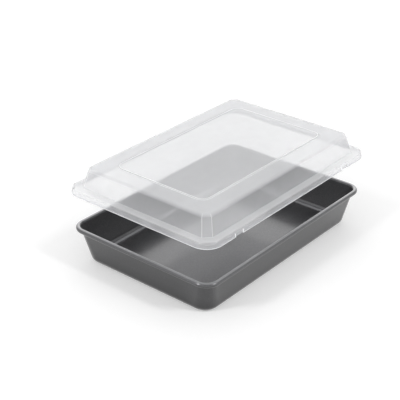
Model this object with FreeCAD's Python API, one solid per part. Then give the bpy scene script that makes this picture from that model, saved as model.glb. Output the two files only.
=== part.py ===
"""Cake pan with a lift-off lid: two solids, one STEP file each.

Origin: middle of the pan's underside. +X runs along the long side, +Z up, millimetres.
The lid stands lifted above the pan. It comes straight down by LID_TRAVEL onto the rolled rim.
"""
import math
import os

import FreeCAD
import Part

# Pan: one drawn steel sheet with a hollow rolled rim
RIM_LENGTH = 343.0
RIM_WIDTH = 238.0
PAN_HEIGHT = 53.2
SHEET = 0.8
WALL_DRAFT = math.radians(9.0)
RIM_CORNER_RADIUS = 20.6
BASE_CORNER_RADIUS = 23.0
BASE_EDGE_RADIUS = 10.0
CURL_RADIUS = 3.3
CURL_END = math.radians(305.0)

# The tray's corners are ruled in short faces, which need fewer triangles than one long face
WALL_ARC_STEP = math.radians(22.5)

# Lid: one moulding with the same wall everywhere
LID_WALL = 1.1
RIM_CLEARANCE = 0.7
LIP_STEP = 0.6
LIP_HEIGHT = 1.2
SKIRT_DRAFT_STEP = 0.2
SKIRT_HEIGHT = 7.5
BEVEL_DROP = 1.9
FLANGE_INSET = 3.0
FLANGE_CORNER_CUT = 14.0
DOME_BASE_INSET = 12.8
DOME_TOP_INSET = 20.3
DOME_HEIGHT = 26.0
DOME_BASE_CORNER_CUT = 9.5
DOME_TOP_CORNER_CUT = 8.5
DOME_CORNER_EDGE_RADIUS = 2.5
DOME_TOP_EDGE_RADIUS = 5.5
DOME_FOOT_RADIUS = 1.2
PANEL_INSET = 46.2
PANEL_RISE = 1.0
PANEL_CORNER_RADIUS = 14.0

# Snap tabs: thinned stretches of the skirt on the long sides, bent in a little
TAB_LENGTH = 16.0
TAB_OFFSET = 115.8
TAB_HEIGHT = 4.6
TAB_POCKET_DEPTH = 1.5
TAB_BULGE = 0.25
TAB_END_SLOPE = 0.9

# How the lid stands over the pan
SEAT_GAP = 0.4
LID_LIFTED_Z = 103.0
LID_SEATED_Z = PAN_HEIGHT + SEAT_GAP - SKIRT_HEIGHT + LID_WALL
LID_TRAVEL = LID_LIFTED_Z - LID_SEATED_Z

# Values worked out from the ones above
CURL_CENTRE_Z = PAN_HEIGHT - CURL_RADIUS
CURL_START_Z = CURL_CENTRE_Z + CURL_RADIUS * math.sin(WALL_DRAFT)
CURL_START_INSET = CURL_RADIUS * (1.0 + math.cos(WALL_DRAFT))
CURL_INNER_RADIUS = CURL_RADIUS - SHEET
CURL_INNER_START = math.asin(CURL_RADIUS * math.sin(WALL_DRAFT) / CURL_INNER_RADIUS)
WALL_WIDTH = CURL_RADIUS * math.cos(WALL_DRAFT) - CURL_INNER_RADIUS * math.cos(CURL_INNER_START)
LID_OUTSET = RIM_CLEARANCE + LID_WALL + LIP_STEP
LID_LENGTH = RIM_LENGTH + 2.0 * LID_OUTSET
LID_WIDTH = RIM_WIDTH + 2.0 * LID_OUTSET
SKIRT_CORNER_RADIUS = RIM_CORNER_RADIUS + RIM_CLEARANCE + LID_WALL
CUT_SHRINK = 2.0 - math.sqrt(2.0)


def tapered_slab(half_low, half_high, low, high, angle):
    """Long slab whose two sloping sides face along one level direction.

    Args:
        half_low: Half its width at the bottom.
        half_high: Half its width at the top.
        low: Height of the bottom.
        high: Height of the top.
        angle: Turn of that direction about +Z, in degrees from +X.

    Returns:
        A flat-sided solid, longer than either piece.
    """
    reach = LID_LENGTH
    section = [(-half_low, low), (half_low, low), (half_high, high), (-half_high, high), (-half_low, low)]
    face = Part.Face(Part.makePolygon([FreeCAD.Vector(x, -reach, z) for x, z in section]))
    slab = face.extrude(FreeCAD.Vector(0.0, 2.0 * reach, 0.0))
    slab.rotate(FreeCAD.Vector(0.0, 0.0, 0.0), FreeCAD.Vector(0.0, 0.0, 1.0), angle)
    return slab


def tapered_block(low, high):
    """Flat-sided block with straight-cut corners, where four tapered slabs cross.

    Args:
        low: Half length, half width, corner cut and height of the bottom.
        high: The same four values for the top.

    Returns:
        One solid with sharp edges.
    """
    diagonals = [(x + y - cut) / math.sqrt(2.0) for x, y, cut, _ in (low, high)]
    widths = ((low[0], high[0], 0.0), (low[1], high[1], 90.0),
              (diagonals[0], diagonals[1], 45.0), (diagonals[0], diagonals[1], -45.0))
    block = None
    for half_low, half_high, angle in widths:
        slab = tapered_slab(half_low, half_high, low[3], high[3], angle)
        block = slab if block is None else block.common(slab)
    return block.Solids[0]


def corner_sector(low, high, sign_x, sign_y, arcs):
    """Rounded corner of a tapered block: quarter discs joined from the bottom to the top.

    Args:
        low: Half length, half width, corner radius and height of the bottom.
        high: The same four values for the top.
        sign_x: 1 for the +X side, -1 for the other.
        sign_y: 1 for the +Y side, -1 for the other.
        arcs: How many ruled faces share the corner.

    Returns:
        One solid with straight-ruled sides.
    """
    wires = []
    for x, y, radius, z in (low, high):
        centre = FreeCAD.Vector(sign_x * (x - radius), sign_y * (y - radius), z)
        angles = [math.pi / 4.0 * i / arcs for i in range(2 * arcs + 1)]
        points = [centre + FreeCAD.Vector(sign_x * math.cos(angle), sign_y * math.sin(angle), 0.0) * radius
                  for angle in angles]
        edges = [Part.Arc(*points[i:i + 3]).toShape() for i in range(0, 2 * arcs, 2)]
        edges.append(Part.LineSegment(points[-1], centre).toShape())
        edges.append(Part.LineSegment(centre, points[0]).toShape())
        wires.append(Part.Wire(edges))
    return Part.makeLoft(wires, True, True)


def rounded_block(low, high, arcs=1):
    """Tapered block whose corner radius changes evenly with height.

    Args:
        low: Half length, half width, corner radius and height of the bottom.
        high: The same four values for the top.
        arcs: How many ruled faces share each corner.

    Returns:
        One solid with flat sides and rounded corners.
    """
    sectors = [corner_sector(low, high, sign_x, sign_y, arcs)
               for sign_x, sign_y in ((1, 1), (-1, 1), (-1, -1), (1, -1))]
    return tapered_block(low, high).multiFuse(sectors).removeSplitter().Solids[0]


def level_edges(solid, z):
    """List the edges that lie wholly at one height."""
    return [edge for edge in solid.Edges
            if all(abs(vertex.Point.z - z) < 1e-4 for vertex in edge.Vertexes)]


def slanted_edges(solid):
    """List the edges whose ends are at different heights."""
    return [edge for edge in solid.Edges
            if abs(edge.Vertexes[0].Point.z - edge.Vertexes[-1].Point.z) > 0.01]


# Pan

def wall_size(z, outward):
    """Size of the pan's wall at one height.

    Args:
        z: Height above the pan's underside.
        outward: Distance outside the cavity face, zero for that face itself.

    Returns:
        Half length, half width, corner radius and the height itself.
    """
    inset = CURL_START_INSET + (CURL_START_Z - z) * math.tan(WALL_DRAFT) - outward
    top_radius = RIM_CORNER_RADIUS - CURL_START_INSET
    base_radius = BASE_CORNER_RADIUS - WALL_WIDTH
    radius = base_radius + (top_radius - base_radius) * z / CURL_START_Z + outward
    return (RIM_LENGTH / 2.0 - inset, RIM_WIDTH / 2.0 - inset, radius, z)


def make_tray():
    """Drafted tray of even sheet with a rounded base edge, open at the top."""
    arcs = round(math.pi / 2.0 / WALL_ARC_STEP)
    outer = rounded_block(wall_size(0.0, WALL_WIDTH), wall_size(CURL_START_Z, WALL_WIDTH), arcs)
    outer = outer.makeFillet(BASE_EDGE_RADIUS, level_edges(outer, 0.0))
    cavity = rounded_block(wall_size(SHEET, 0.0), wall_size(CURL_START_Z, 0.0), arcs)
    cavity = cavity.makeFillet(BASE_EDGE_RADIUS - SHEET, level_edges(cavity, SHEET))
    return outer.cut(cavity)


def curl_point(radius, angle):
    """Point of the rolled rim's section, x counted outwards from the rim's outer edge."""
    x = -CURL_RADIUS - radius * math.cos(angle)
    return FreeCAD.Vector(x, 0.0, CURL_CENTRE_Z + radius * math.sin(angle))


def curl_section():
    """Section of the rolled rim: sheet bent over, out and back in under itself."""
    outer_middle = curl_point(CURL_RADIUS, (WALL_DRAFT + CURL_END) / 2.0)
    inner_middle = curl_point(CURL_INNER_RADIUS, (CURL_INNER_START + CURL_END) / 2.0)
    start = curl_point(CURL_RADIUS, WALL_DRAFT)
    inner_start = curl_point(CURL_INNER_RADIUS, CURL_INNER_START)
    tip = curl_point(CURL_RADIUS, CURL_END)
    inner_tip = curl_point(CURL_INNER_RADIUS, CURL_END)
    edges = [
        Part.Arc(start, outer_middle, tip).toShape(),
        Part.LineSegment(tip, inner_tip).toShape(),
        Part.Arc(inner_tip, inner_middle, inner_start).toShape(),
        Part.LineSegment(inner_start, start).toShape(),
    ]
    return Part.Face(Part.Wire(edges))


def make_rolled_rim():
    """Four straight stretches and four quarter turns of the rim's section."""
    up = FreeCAD.Vector(0.0, 0.0, 1.0)
    section = curl_section()
    pieces = []
    for turn in range(4):
        along_x = turn % 2 == 1
        reach = (RIM_WIDTH if along_x else RIM_LENGTH) / 2.0
        side = (RIM_LENGTH if along_x else RIM_WIDTH) / 2.0 - RIM_CORNER_RADIUS
        profile = section.translated(FreeCAD.Vector(reach, side, 0.0))
        straight = profile.extrude(FreeCAD.Vector(0.0, -2.0 * side, 0.0))
        centre = FreeCAD.Vector(reach - RIM_CORNER_RADIUS, side, 0.0)
        # Turned as splines, the quarter turns need fewer triangles than as tori
        corner = profile.toNurbs().revolve(centre, up, 90.0)
        for piece in (straight, corner):
            piece.rotate(FreeCAD.Vector(0.0, 0.0, 0.0), up, 90.0 * turn)
            pieces.append(piece)
    return pieces


def make_pan():
    """Tray and rolled rim as one solid."""
    return make_tray().multiFuse(make_rolled_rim()).removeSplitter()


# Lid, drawn with its lower edge at z = 0

def lid_path():
    """Outer face of the lid as (inset, height) points from the skirt's edge to the middle."""
    flange_z = SKIRT_HEIGHT
    top_z = SKIRT_HEIGHT + DOME_HEIGHT
    return [
        (LIP_STEP, 0.0),
        (LIP_STEP + SKIRT_DRAFT_STEP, SKIRT_HEIGHT - BEVEL_DROP),
        (FLANGE_INSET, flange_z),
        (DOME_BASE_INSET, flange_z),
        (DOME_TOP_INSET, top_z),
        (PANEL_INSET, top_z),
        (PANEL_INSET + PANEL_RISE, top_z + PANEL_RISE),
        (PANEL_INSET + 2.0 * PANEL_RISE, top_z + PANEL_RISE),
    ]


def crossing(first, second):
    """Point where the lines through two pairs of points meet."""
    (u0, z0), (u1, z1) = first
    (u2, z2), (u3, z3) = second
    cross = (u1 - u0) * (z3 - z2) - (z1 - z0) * (u3 - u2)
    share = ((u2 - u0) * (z3 - z2) - (z2 - z0) * (u3 - u2)) / cross
    return (u0 + share * (u1 - u0), z0 + share * (z1 - z0))


def inner_path(path, distance):
    """Copy of a path moved to its inner side by an even distance, with mitred corners."""
    moved = []
    for (u0, z0), (u1, z1) in zip(path, path[1:]):
        run = math.hypot(u1 - u0, z1 - z0)
        shift_u = distance * (z1 - z0) / run
        shift_z = -distance * (u1 - u0) / run
        moved.append(((u0 + shift_u, z0 + shift_z), (u1 + shift_u, z1 + shift_z)))
    corners = [moved[0][0]]
    corners += [crossing(first, second) for first, second in zip(moved, moved[1:])]
    corners.append(moved[-1][1])
    return corners


def lid_size(path, i, corner, rounded=True):
    """Size of one face of the lid at one point of its path.

    Args:
        path: The (inset, height) points of the outer or the inner face.
        i: Index of the point.
        corner: Arc radius or straight cut of the outer face there.
        rounded: True for an arc, False for a straight cut.

    Returns:
        Half length, half width, corner size and height.
    """
    inset, z = path[i]
    shrink = 1.0 if rounded else CUT_SHRINK
    corner -= shrink * (inset - lid_path()[i][0])
    return (LID_LENGTH / 2.0 - inset, LID_WIDTH / 2.0 - inset, corner, z)


def carried_to(low, high, z):
    """Size that a tapered block has where its slopes are carried on to another height."""
    share = (z - low[3]) / (high[3] - low[3])
    return tuple(a + share * (b - a) for a, b in zip(low, high))


def flange_block(path):
    """Round-cornered skirt, bevelled all round to a flange with straight-cut corners."""
    foot = lid_size(path, 0, SKIRT_CORNER_RADIUS)
    knee = lid_size(path, 1, SKIRT_CORNER_RADIUS - SKIRT_DRAFT_STEP)
    brim = lid_size(path, 2, FLANGE_CORNER_CUT, False)
    knee_cut = (knee[0], knee[1], CUT_SHRINK * knee[2], knee[3])
    skirt = rounded_block(foot, carried_to(foot, knee, brim[3]))
    bevel = tapered_block(carried_to(knee_cut, brim, foot[3]), brim)
    return skirt.common(bevel)


def panel_block(path):
    """Raised panel with a bevelled edge, standing on the dome."""
    return rounded_block(lid_size(path, 5, PANEL_CORNER_RADIUS),
                         lid_size(path, 6, PANEL_CORNER_RADIUS - PANEL_RISE))


def foot_edges(form, inset, z):
    """List the level edges that lie at least that far in from the lid's outer edge."""
    half_length = LID_LENGTH / 2.0 - inset + 0.1
    half_width = LID_WIDTH / 2.0 - inset + 0.1
    return [edge for edge in level_edges(form, z)
            if all(abs(vertex.Point.x) < half_length and abs(vertex.Point.y) < half_width
                   for vertex in edge.Vertexes)]


def dome_block(path):
    """Flat-sided dome with cut corners and sharp edges, up to one face of the lid."""
    return tapered_block(lid_size(path, 3, DOME_BASE_CORNER_CUT, False),
                         lid_size(path, 4, DOME_TOP_CORNER_CUT, False))


def lid_form(path, thinner):
    """Solid filled up to one face of the lid.

    Args:
        path: The (inset, height) points of that face.
        thinner: Wall thickness by which its outer edge radii are smaller and its foot larger.

    Returns:
        One solid: skirt, flange, dome and panel.
    """
    foot_inset, foot_z = path[3]
    dome = dome_block(path)
    dome = dome.makeFillet(DOME_TOP_EDGE_RADIUS - thinner, level_edges(dome, path[4][1]))
    dome = dome.makeFillet(DOME_CORNER_EDGE_RADIUS - thinner, slanted_edges(dome))
    form = flange_block(path).fuse(dome)
    form = form.makeFillet(DOME_FOOT_RADIUS + thinner, foot_edges(form, foot_inset, foot_z))
    return form.fuse(panel_block(path))


def lip_block():
    """Block of the small outward lip round the skirt's lower edge."""
    size = (LID_LENGTH / 2.0, LID_WIDTH / 2.0, SKIRT_CORNER_RADIUS + LIP_STEP)
    return rounded_block(size + (0.0,), size + (LIP_HEIGHT,))


def tab_wedge(inset, depth, overrun):
    """Wedge with sloping ends in one stretch of the +Y skirt.

    Args:
        inset: Where its inner face lies, from the lip's outer edge.
        depth: How far it reaches outwards from there.
        overrun: How far it starts below the skirt's edge.

    Returns:
        A solid, centred on x = 0.
    """
    inner_y = LID_WIDTH / 2.0 - inset
    slope = depth * TAB_END_SLOPE
    half = TAB_LENGTH / 2.0
    corners = [(-half + slope, inner_y), (half - slope, inner_y), (half, inner_y + depth),
               (-half, inner_y + depth), (-half + slope, inner_y)]
    face = Part.Face(Part.makePolygon([FreeCAD.Vector(x, y, -overrun) for x, y in corners]))
    return face.extrude(FreeCAD.Vector(0.0, 0.0, TAB_HEIGHT + overrun))


def four_copies(shape):
    """The shape at both tab positions of both long sides."""
    copies = []
    for side in range(2):
        for x in (-TAB_OFFSET, TAB_OFFSET):
            copy = shape.translated(FreeCAD.Vector(x, 0.0, 0.0))
            copy.rotate(FreeCAD.Vector(0.0, 0.0, 0.0), FreeCAD.Vector(0.0, 0.0, 1.0), 180.0 * side)
            copies.append(copy)
    return copies


def make_lid():
    """The lid as one solid, standing at its lifted height."""
    outer_path = lid_path()
    inside_path = inner_path(outer_path, LID_WALL)
    shell = lid_form(outer_path, 0.0).fuse(lip_block()).cut(lid_form(inside_path, LID_WALL))
    inner_inset = LIP_STEP + LID_WALL
    bulge = tab_wedge(inner_inset + TAB_BULGE + SKIRT_DRAFT_STEP / 2.0, LID_WALL, 0.0)
    pocket = tab_wedge(TAB_POCKET_DEPTH, TAB_POCKET_DEPTH + LIP_STEP, LIP_STEP)
    shell = shell.multiFuse(four_copies(bulge))
    for tool in four_copies(pocket):
        shell = shell.cut(tool)
    shell = shell.removeSplitter()
    shell.translate(FreeCAD.Vector(0.0, 0.0, LID_LIFTED_Z))
    return shell


def save(name, shape):
    """Check that the shape is one sound solid and write its STEP file."""
    if len(shape.Solids) != 1 or not shape.isValid():
        raise ValueError(f"{name}: {len(shape.Solids)} solids, valid {shape.isValid()}")
    solid = shape.Solids[0]
    solid.exportStep(f"parts/{name}.step")
    box = solid.BoundBox
    print(f"{name}: {solid.Volume:.0f} mm3, {len(solid.Faces)} faces, "
          f"x {box.XMin:.2f} {box.XMax:.2f}, y {box.YMin:.2f} {box.YMax:.2f}, z {box.ZMin:.2f} {box.ZMax:.2f}")


def main():
    """Build both pieces and write them."""
    os.makedirs("parts", exist_ok=True)
    save("pan", make_pan())
    save("lid", make_lid())
    print(f"lid travel {LID_TRAVEL:.2f} mm")


main()
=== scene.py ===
"""Dresses a cake pan and its see-through lid, and sets the studio round them.

Sizes are in metres, but for those whose names end in _mm. The axes are the frame's own: +X
along the pan's long side, +Y along its short side and +Z up. The pan stands on the floor at
z = 0 and the lid hangs over it.
"""
import logging
import math
from dataclasses import dataclass
from enum import IntEnum
from typing import Any

import bpy
from mathutils import Matrix, Vector


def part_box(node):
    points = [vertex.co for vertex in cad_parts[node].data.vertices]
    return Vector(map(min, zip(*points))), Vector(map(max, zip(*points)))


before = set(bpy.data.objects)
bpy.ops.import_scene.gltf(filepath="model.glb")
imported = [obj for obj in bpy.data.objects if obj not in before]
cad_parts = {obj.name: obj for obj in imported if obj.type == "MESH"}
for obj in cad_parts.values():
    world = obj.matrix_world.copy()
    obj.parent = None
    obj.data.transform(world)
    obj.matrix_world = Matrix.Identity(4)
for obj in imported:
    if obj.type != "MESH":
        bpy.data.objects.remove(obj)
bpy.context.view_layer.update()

LOG = logging.getLogger("cake_pan")
MM = 0.001

# A Mix node's colour comes out of its output of this number
COLOUR_RESULT = 2

Tree = bpy.types.NodeTree
Socket = bpy.types.NodeSocket


class MixInput(IntEnum):
    """Numbers of a Mix node's inputs, whose names repeat for each kind of data."""

    NUMBER_A = 2
    NUMBER_B = 3
    COLOUR_A = 6
    COLOUR_B = 7


def linear(hex_colour: str) -> tuple[float, float, float, float]:
    """Turn an sRGB hex colour into the linear values that a shader takes.

    Args:
        hex_colour: Six hex digits after a hash sign.

    Returns:
        Linear red, green and blue, and an alpha of 1.
    """
    values = []
    # The sRGB curve is a straight line for the darkest values, and a power above them
    for start in (1, 3, 5):
        share = int(hex_colour[start:start + 2], 16) / 255.0
        values.append(share / 12.92 if share <= 0.04045 else ((share + 0.055) / 1.055) ** 2.4)
    return (values[0], values[1], values[2], 1.0)


def add_node(tree: Tree, kind: str, settings: dict[str, Any] | None = None,
             inputs: dict[str | int, Any] | None = None) -> bpy.types.Node:
    """Add a node, set its properties, and set or link its inputs.

    Args:
        tree: The node tree that takes it.
        kind: Blender's name of the node's type.
        settings: Properties of the node itself.
        inputs: Values or output sockets by the input's name or number.

    Returns:
        The new node.
    """
    node = tree.nodes.new(kind)
    for name, value in (settings or {}).items():
        setattr(node, name, value)
    for key, value in (inputs or {}).items():
        if isinstance(value, Socket):
            tree.links.new(value, node.inputs[key])
        else:
            node.inputs[key].default_value = value
    return node


def empty_material(name: str) -> bpy.types.Material:
    """Make a material whose node tree is empty.

    Args:
        name: What the material is called.

    Returns:
        The new material.
    """
    material = bpy.data.materials.new(name)
    material.use_nodes = True
    material.node_tree.nodes.clear()
    return material


def dress_node(name: str, material: bpy.types.Material) -> None:
    """Put one material on a whole node of the frame.

    Args:
        name: The node's name.
        material: What it is made of.
    """
    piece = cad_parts[name]
    piece.data.materials.clear()
    piece.data.materials.append(material)
    LOG.info("dressed %s in %s", name, material.name)


@dataclass(frozen=True)
class NonStickSteel:
    """PTFE-coated drawn steel: sprayed, oven-cured, dark grey with fine metal flake.

    The flake gives the eye a soft, wide sheen with a faint grain, and the clear skin over it
    adds small sharp glints along the rim. A painted highlight lightens the coating along the
    rim's crest and in the crease between floor and walls, and painted shade darkens its outside,
    most at the foot.

    The crest's painted highlight begins crest_highlight_from_mm under the crest and is full at
    crest_highlight_to_mm. The crease and the foot are measured up from the pan's underside.
    """

    crest_z: float
    colour: str = "#4e4e50"
    fleck_colour: str = "#565658"
    fleck_mm: float = 1.6
    fleck_from: float = 0.42
    fleck_to: float = 0.62
    crest_and_crease_highlight_colour: str = "#8e8e90"
    crest_highlight_from_mm: float = 0.95
    crest_highlight_to_mm: float = 0.3
    crease_highlight_share: float = 0.7
    crease_mm: float = 2.3
    crease_half_mm: float = 0.75
    painted_shade_colour: str = "#1c1c1e"
    outside_shade_share: float = 0.58
    foot_mm: float = 24.0
    metallic: float = 0.65
    roughness: float = 0.3
    skin: float = 0.8
    skin_roughness: float = 0.15
    grain_mm: float = 0.9
    grain_depth_mm: float = 0.02
    grain_strength: float = 0.05

    def build(self) -> bpy.types.Material:
        """Make the coating, with its flake, its grain, and its painted highlights and shade.

        Returns:
            The pan's material.
        """
        material = empty_material("ptfe_coated_steel")
        tree = material.node_tree
        place = add_node(tree, "ShaderNodeTexCoord").outputs["Object"]
        # Real flake is under 0.1 mm, too fine to show, so it is drawn as a coarser mottle
        fleck = add_node(tree, "ShaderNodeTexNoise", {},
                         {"Vector": place, "Scale": 1.0 / (self.fleck_mm * MM), "Detail": 2.0})
        blend = add_node(tree, "ShaderNodeMapRange", {},
                         {"Value": fleck.outputs["Fac"], "From Min": self.fleck_from,
                          "From Max": self.fleck_to})
        fresh = add_node(tree, "ShaderNodeMix", {"data_type": "RGBA"},
                         {"Factor": blend.outputs["Result"], MixInput.COLOUR_A: linear(self.colour),
                          MixInput.COLOUR_B: linear(self.fleck_colour)})
        # Painted highlights on the rim's crest and in the crease, and painted shade on the outside
        colour_with_painted_light = self.paint_highlights_and_shade(tree, place, fresh.outputs[COLOUR_RESULT])
        grain = add_node(tree, "ShaderNodeTexNoise", {},
                         {"Vector": place, "Scale": 1.0 / (self.grain_mm * MM), "Detail": 1.0})
        bump = add_node(tree, "ShaderNodeBump", {},
                        {"Height": grain.outputs["Fac"], "Strength": self.grain_strength,
                         "Distance": self.grain_depth_mm * MM})
        shader = add_node(tree, "ShaderNodeBsdfPrincipled", {},
                          {"Base Color": colour_with_painted_light, "Metallic": self.metallic,
                           "Roughness": self.roughness, "Coat Weight": self.skin,
                           "Coat Roughness": self.skin_roughness, "Normal": bump.outputs["Normal"]})
        add_node(tree, "ShaderNodeOutputMaterial", {}, {"Surface": shader.outputs["BSDF"]})
        return material

    def paint_highlights_and_shade(self, tree: Tree, place: Socket, fresh: Socket) -> Socket:
        """Paint highlights on the rim's crest and in the crease, and paint shade on the outside.

        Args:
            tree: The material's node tree.
            place: Socket with the place in the frame's own axes.
            fresh: Socket with the colour before the painted light.

        Returns:
            The socket that carries the colour with painted highlights and shade.
        """
        height = add_node(tree, "ShaderNodeSeparateXYZ", {}, {"Vector": place}).outputs["Z"]
        normal = add_node(tree, "ShaderNodeNewGeometry").outputs["True Normal"]
        facing = add_node(tree, "ShaderNodeSeparateXYZ", {}, {"Vector": normal}).outputs["Z"]
        # The walls lean outwards, so the faces that look up are the ones inside the pan
        inside = add_node(tree, "ShaderNodeMath", {"operation": "GREATER_THAN"}, {0: facing, 1: 0.0})
        # Painted highlight: the rim's crest is drawn pale, for the line of light that it catches
        crest = add_node(tree, "ShaderNodeMapRange", {},
                         {"Value": height, "From Min": self.crest_z - self.crest_highlight_from_mm * MM,
                          "From Max": self.crest_z - self.crest_highlight_to_mm * MM})
        # Painted highlight: a thin pale band at a set height inside, for the light in the crease between
        # floor and walls
        band = add_node(tree, "ShaderNodeMath", {"operation": "COMPARE"},
                        {0: height, 1: self.crease_mm * MM, 2: self.crease_half_mm * MM})
        inner_band = add_node(tree, "ShaderNodeMath", {"operation": "MULTIPLY"},
                              {0: band.outputs[0], 1: inside.outputs[0]})
        crease = add_node(tree, "ShaderNodeMath", {"operation": "MULTIPLY"},
                          {0: inner_band.outputs[0], 1: self.crease_highlight_share})
        highlight_mask = add_node(tree, "ShaderNodeMath", {"operation": "MAXIMUM"},
                          {0: crest.outputs["Result"], 1: crease.outputs[0]})
        pale = add_node(tree, "ShaderNodeMix", {"data_type": "RGBA"},
                        {"Factor": highlight_mask.outputs[0], MixInput.COLOUR_A: fresh,
                         MixInput.COLOUR_B: linear(self.crest_and_crease_highlight_colour)})
        # Painted shade: the outside is darkest at the foot and stays partly dark higher up, while the
        # inside keeps its colour
        foot_shade = add_node(tree, "ShaderNodeMapRange", {},
                         {"Value": height, "From Max": self.foot_mm * MM, "To Min": 1.0,
                          "To Max": self.outside_shade_share})
        outside = add_node(tree, "ShaderNodeMath", {"operation": "SUBTRACT", "use_clamp": True},
                           {0: foot_shade.outputs["Result"], 1: inside.outputs[0]})
        colour_with_painted_light = add_node(tree, "ShaderNodeMix", {"data_type": "RGBA"},
                        {"Factor": outside.outputs[0], MixInput.COLOUR_A: pale.outputs[COLOUR_RESULT],
                         MixInput.COLOUR_B: linear(self.painted_shade_colour)})
        return colour_with_painted_light.outputs[COLOUR_RESULT]


@dataclass(frozen=True)
class LidZones:
    """Where the lid's faces lie: half lengths from its middle, and heights.

    All are in metres. Apart from the panel's, a _half or an _end is half the width of a zone.
    """

    panel_half: tuple[float, float]
    panel_corner: float
    panel_edge: float
    panel_ring_half: float
    lip_z: float
    tab_z: float
    tab_offset: float
    tab_half: float
    tab_end: float
    ridge_z: float
    ridge_half: float
    flange_z: float
    top_z: float

    def panel_rise(self) -> float:
        """Reach at which the raised panel's edge turns down, as panel_reach counts it."""
        return self.panel_corner - self.panel_edge


@dataclass(frozen=True)
class ClearPolypropylene:
    """Injection-moulded natural polypropylene, about a millimetre thick.

    It is see-through but milky, so dark things behind it turn pale grey, and it carries light
    along inside itself. Level faces are hazier than the walls, and the raised panel is a little
    clearer. The lip, the tab ends, the flange ridge, the dome's corners and the panel's edge get
    a painted highlight, a whiter and more opaque colour, for the light that comes out there and
    the glints on those edges.

    An alpha is the opacity of one surface, and a wall has two. A share says how much of the
    painted highlight a place gets. A face counts as level where its normal's upright part grows
    from level_from to level_to, and as a dome corner where the larger level part of its
    heading lies within corner_spread of corner_turn.
    """

    zones: LidZones
    colour: str = "#e7e8eb"
    edge_highlight_colour: str = "#f2f3f5"
    wall_top_alpha: float = 0.2
    wall_foot_alpha: float = 0.29
    level_alpha: float = 0.51
    level_from: float = 0.2
    level_to: float = 0.9
    panel_alpha: float = 0.45
    edge_highlight_alpha: float = 0.88
    lip_share: float = 0.7
    ridge_share: float = 0.2
    ring_share: float = 0.7
    corner_share: float = 0.28
    corner_turn: float = 0.87
    corner_spread: float = 0.11
    ior: float = 1.49
    roughness: float = 0.28
    scatter: float = 0.8
    scatter_mm: float = 6.0
    haze_mm: float = 14.0
    haze_depth: float = 0.03
    shadow_share: float = 0.15

    def build(self) -> bpy.types.Material:
        """Make the plastic, with its clear walls, its hazy level faces and painted highlights on its
        edges.

        Returns:
            The lid's material.
        """
        material = empty_material("natural_polypropylene")
        tree = material.node_tree
        place = add_node(tree, "ShaderNodeTexCoord").outputs["Object"]
        normal = add_node(tree, "ShaderNodeNewGeometry").outputs["True Normal"]
        panel_reach = self.panel_reach(tree, place)
        # Painted highlights: mask of the edges that are drawn whiter and more opaque
        edge = self.edges(tree, place, normal, panel_reach)
        faces = self.face_alpha(tree, place, normal, panel_reach)
        colour = add_node(tree, "ShaderNodeMix", {"data_type": "RGBA"},
                          {"Factor": edge, MixInput.COLOUR_A: linear(self.colour),
                           MixInput.COLOUR_B: linear(self.edge_highlight_colour)})
        shader = add_node(tree, "ShaderNodeBsdfPrincipled", {},
                          {"Base Color": colour.outputs[COLOUR_RESULT],
                           "Roughness": self.roughness, "IOR": self.ior,
                           "Alpha": self.opacity(tree, place, faces, edge),
                           "Subsurface Weight": self.scatter,
                           "Subsurface Radius": (1.0, 1.0, 1.0),
                           "Subsurface Scale": self.scatter_mm * MM})
        add_node(tree, "ShaderNodeOutputMaterial", {}, {"Surface": shader.outputs["BSDF"]})
        return material

    def opacity(self, tree: Tree, place: Socket, faces: Socket, edge: Socket) -> Socket:
        """Opacity of the whole lid, a little cloudy, and low for the rays that cast its shadow.

        Args:
            tree: The material's node tree.
            place: Socket with the place in the frame's own axes.
            faces: Socket with the opacity of the faces.
            edge: Socket with the mask of the painted highlights.

        Returns:
            The socket that carries the opacity.
        """
        # The painted highlights are made more opaque as well, so that their white shows over dark things
        alpha = add_node(tree, "ShaderNodeMix", {},
                         {"Factor": edge, MixInput.NUMBER_A: faces, MixInput.NUMBER_B: self.edge_highlight_alpha})
        haze = add_node(tree, "ShaderNodeTexNoise", {},
                        {"Vector": place, "Scale": 1.0 / (self.haze_mm * MM), "Detail": 2.0})
        # The noise is a half on average, so half of the depth comes off again
        cloudy = add_node(tree, "ShaderNodeMath", {"operation": "MULTIPLY_ADD"},
                          {0: haze.outputs["Fac"], 1: self.haze_depth, 2: -0.5 * self.haze_depth})
        seen = add_node(tree, "ShaderNodeMath", {"operation": "ADD"},
                        {0: alpha.outputs[0], 1: cloudy.outputs[0]})
        # Milky plastic sends most of the light that it scatters onwards, so its shadow is faint
        shadow = add_node(tree, "ShaderNodeLightPath").outputs["Is Shadow Ray"]
        blocked = add_node(tree, "ShaderNodeMapRange", {},
                           {"Value": shadow, "To Min": 1.0, "To Max": self.shadow_share})
        return add_node(tree, "ShaderNodeMath", {"operation": "MULTIPLY"},
                        {0: seen.outputs[0], 1: blocked.outputs["Result"]}).outputs[0]

    def panel_reach(self, tree: Tree, place: Socket) -> Socket:
        """Distance from the core of the raised panel's round-cornered outline.

        Args:
            tree: The material's node tree.
            place: Socket with the place in the frame's own axes.

        Returns:
            A socket that is 0 well inside the panel and its corner radius at its foot.
        """
        core = tuple(half - self.zones.panel_corner for half in self.zones.panel_half) + (0.0,)
        mirrored = add_node(tree, "ShaderNodeVectorMath", {"operation": "ABSOLUTE"}, {0: place})
        beyond = add_node(tree, "ShaderNodeVectorMath", {"operation": "SUBTRACT"},
                          {0: mirrored.outputs[0], 1: core})
        outside = add_node(tree, "ShaderNodeVectorMath", {"operation": "MAXIMUM"},
                           {0: beyond.outputs[0], 1: (0.0, 0.0, 0.0)})
        level = add_node(tree, "ShaderNodeVectorMath", {"operation": "MULTIPLY"},
                         {0: outside.outputs[0], 1: (1.0, 1.0, 0.0)})
        return add_node(tree, "ShaderNodeVectorMath", {"operation": "LENGTH"},
                        {0: level.outputs[0]}).outputs["Value"]

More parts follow.
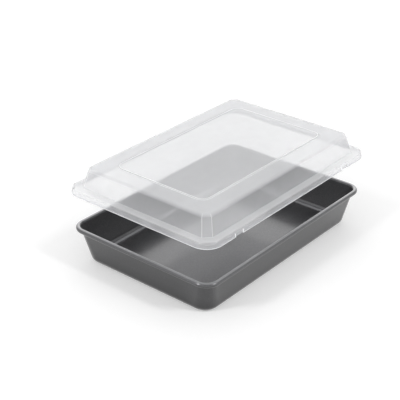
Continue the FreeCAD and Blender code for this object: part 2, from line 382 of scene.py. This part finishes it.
    def face_alpha(self, tree: Tree, place: Socket, normal: Socket, panel_reach: Socket) -> Socket:
        """Opacity of the walls, the level faces and the panel.

        Args:
            tree: The material's node tree.
            place: Socket with the place in the frame's own axes.
            normal: Socket with the face's own normal.
            panel_reach: Socket from the method of that name.

        Returns:
            The socket that carries the opacity.
        """
        height = add_node(tree, "ShaderNodeSeparateXYZ", {}, {"Vector": place}).outputs["Z"]
        wall = add_node(tree, "ShaderNodeMapRange", {},
                        {"Value": height, "From Min": self.zones.flange_z, "From Max": self.zones.top_z,
                         "To Min": self.wall_foot_alpha, "To Max": self.wall_top_alpha})
        upright = add_node(tree, "ShaderNodeSeparateXYZ", {}, {"Vector": normal}).outputs["Z"]
        size = add_node(tree, "ShaderNodeMath", {"operation": "ABSOLUTE"}, {0: upright})
        level = add_node(tree, "ShaderNodeMapRange", {},
                         {"Value": size.outputs[0], "From Min": self.level_from,
                          "From Max": self.level_to})
        # The skirt and its lip stay as clear as a wall
        skirt = add_node(tree, "ShaderNodeMath", {"operation": "LESS_THAN"},
                         {0: height, 1: self.zones.flange_z})
        flat = add_node(tree, "ShaderNodeMath", {"operation": "SUBTRACT", "use_clamp": True},
                        {0: level.outputs["Result"], 1: skirt.outputs[0]})
        around = add_node(tree, "ShaderNodeMix", {},
                          {"Factor": flat.outputs[0], MixInput.NUMBER_A: wall.outputs["Result"],
                           MixInput.NUMBER_B: self.level_alpha})
        on_panel = add_node(tree, "ShaderNodeMath", {"operation": "LESS_THAN"},
                            {0: panel_reach, 1: self.zones.panel_rise()})
        return add_node(tree, "ShaderNodeMix", {},
                        {"Factor": on_panel.outputs[0], MixInput.NUMBER_A: around.outputs[0],
                         MixInput.NUMBER_B: self.panel_alpha}).outputs[0]

    def edges(self, tree: Tree, place: Socket, normal: Socket, panel_reach: Socket) -> Socket:
        """Mask of the painted highlights: lip, tab ends, flange ridge, dome corners, panel edge.

        Args:
            tree: The material's node tree.
            place: Socket with the place in the frame's own axes.
            normal: Socket with the face's own normal.
            panel_reach: Socket from the method of that name.

        Returns:
            A socket with each place's share, and 0 elsewhere.
        """
        height = add_node(tree, "ShaderNodeSeparateXYZ", {}, {"Vector": place}).outputs["Z"]
        on_ridge = add_node(tree, "ShaderNodeMath", {"operation": "COMPARE"},
                            {0: height, 1: self.zones.ridge_z, 2: self.zones.ridge_half})
        ridge = add_node(tree, "ShaderNodeMath", {"operation": "MULTIPLY"},
                         {0: on_ridge.outputs[0], 1: self.ridge_share})
        on_ring = add_node(tree, "ShaderNodeMath", {"operation": "COMPARE"},
                           {0: panel_reach, 1: self.zones.panel_rise(), 2: self.zones.panel_ring_half})
        ring = add_node(tree, "ShaderNodeMath", {"operation": "MULTIPLY"},
                        {0: on_ring.outputs[0], 1: self.ring_share})
        edge = self.foot_highlights(tree, place)
        for mask in (self.corner_highlights(tree, place, normal), ridge.outputs[0], ring.outputs[0]):
            edge = add_node(tree, "ShaderNodeMath", {"operation": "MAXIMUM"},
                            {0: edge, 1: mask}).outputs[0]
        return edge

    def foot_highlights(self, tree: Tree, place: Socket) -> Socket:
        """Mask of the painted highlights on the skirt's lip between the tabs and on both ends of each
        tab.

        Args:
            tree: The material's node tree.
            place: Socket with the place in the frame's own axes.

        Returns:
            A socket with the lip's share on the lip and 1 on the tab ends.
        """
        spot = add_node(tree, "ShaderNodeSeparateXYZ", {}, {"Vector": place})
        along = add_node(tree, "ShaderNodeMath", {"operation": "ABSOLUTE"}, {0: spot.outputs["X"]})
        on_tab = add_node(tree, "ShaderNodeMath", {"operation": "COMPARE"},
                          {0: along.outputs[0], 1: self.zones.tab_offset, 2: self.zones.tab_half})
        on_foot = add_node(tree, "ShaderNodeMath", {"operation": "LESS_THAN"},
                           {0: spot.outputs["Z"], 1: self.zones.lip_z})
        between_tabs = add_node(tree, "ShaderNodeMath", {"operation": "SUBTRACT", "use_clamp": True},
                                {0: on_foot.outputs[0], 1: on_tab.outputs[0]})
        lip = add_node(tree, "ShaderNodeMath", {"operation": "MULTIPLY"},
                       {0: between_tabs.outputs[0], 1: self.lip_share})
        low = add_node(tree, "ShaderNodeMath", {"operation": "LESS_THAN"},
                       {0: spot.outputs["Z"], 1: self.zones.tab_z})
        past_middle = add_node(tree, "ShaderNodeMath", {"operation": "SUBTRACT"},
                               {0: along.outputs[0], 1: self.zones.tab_offset})
        from_middle = add_node(tree, "ShaderNodeMath", {"operation": "ABSOLUTE"},
                               {0: past_middle.outputs[0]})
        at_end = add_node(tree, "ShaderNodeMath", {"operation": "COMPARE"},
                          {0: from_middle.outputs[0], 1: self.zones.tab_half, 2: self.zones.tab_end})
        tab_ends = add_node(tree, "ShaderNodeMath", {"operation": "MULTIPLY"},
                            {0: low.outputs[0], 1: at_end.outputs[0]})
        return add_node(tree, "ShaderNodeMath", {"operation": "MAXIMUM"},
                        {0: lip.outputs[0], 1: tab_ends.outputs[0]}).outputs[0]

    def corner_highlights(self, tree: Tree, place: Socket, normal: Socket) -> Socket:
        """Mask of painted highlights on the rounded edges beside the dome's straight-cut corners.

        Args:
            tree: The material's node tree.
            place: Socket with the place in the frame's own axes.
            normal: Socket with the face's own normal.

        Returns:
            A socket with the corners' share on those edges, above the flange.
        """
        facing = add_node(tree, "ShaderNodeVectorMath", {"operation": "ABSOLUTE"}, {0: normal})
        sideways = add_node(tree, "ShaderNodeVectorMath", {"operation": "MULTIPLY"},
                            {0: facing.outputs[0], 1: (1.0, 1.0, 0.0)})
        heading = add_node(tree, "ShaderNodeVectorMath", {"operation": "NORMALIZE"},
                           {0: sideways.outputs[0]})
        parts = add_node(tree, "ShaderNodeSeparateXYZ", {}, {"Vector": heading.outputs[0]})
        larger = add_node(tree, "ShaderNodeMath", {"operation": "MAXIMUM"},
                          {0: parts.outputs["X"], 1: parts.outputs["Y"]})
        turned = add_node(tree, "ShaderNodeMath", {"operation": "COMPARE"},
                          {0: larger.outputs[0], 1: self.corner_turn, 2: self.corner_spread})
        height = add_node(tree, "ShaderNodeSeparateXYZ", {}, {"Vector": place}).outputs["Z"]
        below = add_node(tree, "ShaderNodeMath", {"operation": "LESS_THAN"},
                         {0: height, 1: self.zones.flange_z})
        on_dome = add_node(tree, "ShaderNodeMath", {"operation": "SUBTRACT", "use_clamp": True},
                           {0: turned.outputs[0], 1: below.outputs[0]})
        return add_node(tree, "ShaderNodeMath", {"operation": "MULTIPLY"},
                        {0: on_dome.outputs[0], 1: self.corner_share}).outputs[0]


@dataclass
class Pan:
    """The drawn pan, whose form comes from the frame."""

    node: str = "pan"

    def dress(self) -> None:
        """Give the pan its coating."""
        dress_node(self.node, NonStickSteel(crest_z=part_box(self.node)[1][2]).build())


@dataclass
class Lid:
    """The moulded lid, whose form comes from the frame.

    Heights are over its lowest edge. The panel's inset runs from the lid's own outline to the
    foot of the panel, and a tab's offset from the middle of the lid to the tab's middle.
    """

    node: str = "lid"
    panel_inset: float = 46.2 * MM
    panel_corner: float = 14.0 * MM
    panel_edge: float = 1.0 * MM
    panel_ring_half: float = 1.4 * MM
    lip_height: float = 1.0 * MM
    tab_height: float = 4.7 * MM
    tab_offset: float = 115.8 * MM
    tab_half: float = 7.8 * MM
    tab_end: float = 0.9 * MM
    ridge_height: float = 7.4 * MM
    ridge_half: float = 0.65 * MM
    flange_height: float = 7.44 * MM

    def zones(self) -> LidZones:
        """Place the plastic's zones by the node's own box.

        Returns:
            The zones, in the frame's own axes.
        """
        low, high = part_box(self.node)
        return LidZones(panel_half=(high[0] - self.panel_inset, high[1] - self.panel_inset),
                        panel_corner=self.panel_corner, panel_edge=self.panel_edge,
                        panel_ring_half=self.panel_ring_half,
                        lip_z=low[2] + self.lip_height, tab_z=low[2] + self.tab_height,
                        tab_offset=self.tab_offset, tab_half=self.tab_half, tab_end=self.tab_end,
                        ridge_z=low[2] + self.ridge_height, ridge_half=self.ridge_half,
                        flange_z=low[2] + self.flange_height, top_z=high[2])

    def dress(self) -> None:
        """Give the lid its plastic."""
        dress_node(self.node, ClearPolypropylene(self.zones()).build())


@dataclass
class PhotoCamera:
    """Camera fitted to the pan's rim and base lines.

    Angles are in degrees. The shifts move it sideways and upwards, square to its view.
    """

    azimuth: float = -50.185
    elevation: float = 28.137
    distance: float = 1437.95 * MM
    right: float = -28.88 * MM
    up: float = 54.15 * MM
    lens_mm: float = 93.13
    sensor_mm: float = 36.0

    def build(self) -> None:
        """Create the camera and make it the scene's own."""
        turn, tilt = math.radians(self.azimuth), math.radians(self.elevation)
        back = Vector((math.sin(turn) * math.cos(tilt), -math.cos(turn) * math.cos(tilt), math.sin(tilt)))
        right = Vector((math.cos(turn), math.sin(turn), 0.0))
        up = back.cross(right)
        place = back * self.distance + right * self.right + up * self.up
        data = bpy.data.cameras.new("photo_camera")
        data.lens = self.lens_mm
        data.sensor_width = self.sensor_mm
        camera = bpy.data.objects.new("photo_camera", data)
        camera.matrix_world = Matrix.Translation(place) @ Matrix((right, up, back)).transposed().to_4x4()
        bpy.context.scene.collection.objects.link(camera)
        bpy.context.scene.camera = camera
        LOG.info("camera at %s", tuple(round(value, 4) for value in place))


@dataclass
class Lamp:
    """One soft, rectangular lamp that looks at the middle of the object."""

    name: str
    place: tuple[float, float, float]
    size: tuple[float, float]
    watts: float
    target: tuple[float, float, float] = (0.0, 0.0, 0.06)

    def build(self) -> None:
        """Create the lamp."""
        data = bpy.data.lights.new(self.name, "AREA")
        data.shape = "RECTANGLE"
        data.size, data.size_y = self.size
        data.energy = self.watts
        lamp = bpy.data.objects.new(self.name, data)
        lamp.location = self.place
        aim = Vector(self.target) - Vector(self.place)
        lamp.rotation_euler = aim.to_track_quat("-Z", "Y").to_euler()
        bpy.context.scene.collection.objects.link(lamp)
        LOG.info("lamp %s", self.name)


@dataclass
class Studio:
    """White floor, white surroundings and soft lamps.

    The floor's glow is floor_glow up to glow_from from its middle, and far_glow past glow_to.
    """

    floor_size: float = 6.0
    floor_colour: str = "#ececec"
    white: str = "#ffffff"
    floor_glow: float = 0.26
    far_glow: float = 0.54
    glow_from: float = 0.8
    glow_to: float = 2.4
    world_light: float = 0.6
    strip_size: tuple[float, float] = (0.2, 0.4)
    wide_size: tuple[float, float] = (2.0, 1.4)

    def build(self) -> None:
        """Build the whole studio."""
        self.build_world()
        self.build_floor()
        Lamp("left_softbox", (-1.32, 0.36, 0.9), self.strip_size, watts=6.5).build()
        Lamp("right_softbox", (0.1, -1.25, 1.05), self.strip_size, watts=6.5).build()
        Lamp("back_softbox", (1.25, 1.05, 0.95), self.wide_size, watts=7.0).build()

    def build_floor(self) -> None:
        """Lay a plain floor that keeps the object's shadow on white."""
        half = self.floor_size / 2.0
        corners = [(-half, -half, 0.0), (half, -half, 0.0), (half, half, 0.0), (-half, half, 0.0)]
        mesh = bpy.data.meshes.new("floor")
        mesh.from_pydata(corners, [], [(0, 1, 2, 3)])
        floor = bpy.data.objects.new("floor", mesh)
        bpy.context.scene.collection.objects.link(floor)
        mesh.materials.append(self.floor_material())
        LOG.info("floor laid")

    def floor_material(self) -> bpy.types.Material:
        """White card whose own glow only shows to the eye, straight or in a reflection.

        The lamps fade away from the object, and the glow makes up for it there.

        Returns:
            The floor's material.
        """
        material = empty_material("white_card")
        tree = material.node_tree
        place = add_node(tree, "ShaderNodeTexCoord").outputs["Object"]
        distance = add_node(tree, "ShaderNodeVectorMath", {"operation": "LENGTH"}, {0: place})
        level = add_node(tree, "ShaderNodeMapRange", {},
                         {"Value": distance.outputs["Value"], "From Min": self.glow_from,
                          "From Max": self.glow_to, "To Min": self.floor_glow,
                          "To Max": self.far_glow})
        strength = add_node(tree, "ShaderNodeMath", {"operation": "MULTIPLY"},
                            {0: self.looking_rays(tree), 1: level.outputs["Result"]})
        glow = add_node(tree, "ShaderNodeEmission", {},
                        {"Color": linear(self.white), "Strength": strength.outputs[0]})
        card = add_node(tree, "ShaderNodeBsdfDiffuse", {}, {"Color": linear(self.floor_colour)})
        both = add_node(tree, "ShaderNodeAddShader", {},
                        {0: card.outputs["BSDF"], 1: glow.outputs["Emission"]})
        add_node(tree, "ShaderNodeOutputMaterial", {}, {"Surface": both.outputs["Shader"]})
        return material

    def looking_rays(self, tree: Tree) -> Socket:
        """Mask of the rays that look at something, and don't light it.

        Args:
            tree: The node tree of the floor or the world.

        Returns:
            A socket that is 1 for camera, glossy and transmission rays.
        """
        rays = add_node(tree, "ShaderNodeLightPath")
        seen = add_node(tree, "ShaderNodeMath", {"operation": "MAXIMUM"},
                        {0: rays.outputs["Is Camera Ray"], 1: rays.outputs["Is Glossy Ray"]})
        return add_node(tree, "ShaderNodeMath", {"operation": "MAXIMUM"},
                        {0: seen.outputs[0], 1: rays.outputs["Is Transmission Ray"]}).outputs[0]

    def build_world(self) -> None:
        """White for the camera and in reflections, plain soft light for the rest."""
        world = bpy.data.worlds.new("white_studio")
        world.use_nodes = True
        tree = world.node_tree
        tree.nodes.clear()
        strength = add_node(tree, "ShaderNodeMapRange", {},
                            {"Value": self.looking_rays(tree), "To Min": self.world_light, "To Max": 1.0})
        light = add_node(tree, "ShaderNodeBackground", {},
                         {"Color": linear(self.white), "Strength": strength.outputs["Result"]})
        add_node(tree, "ShaderNodeOutputWorld", {}, {"Surface": light.outputs["Background"]})
        bpy.context.scene.world = world


def main() -> None:
    """Build everything in order."""
    logging.basicConfig(level=logging.INFO, format="%(name)s: %(message)s")
    bpy.context.scene.view_settings.view_transform = "Standard"
    PhotoCamera().build()
    Studio().build()
    Pan().dress()
    Lid().dress()


if __name__ == "__main__":
    main()
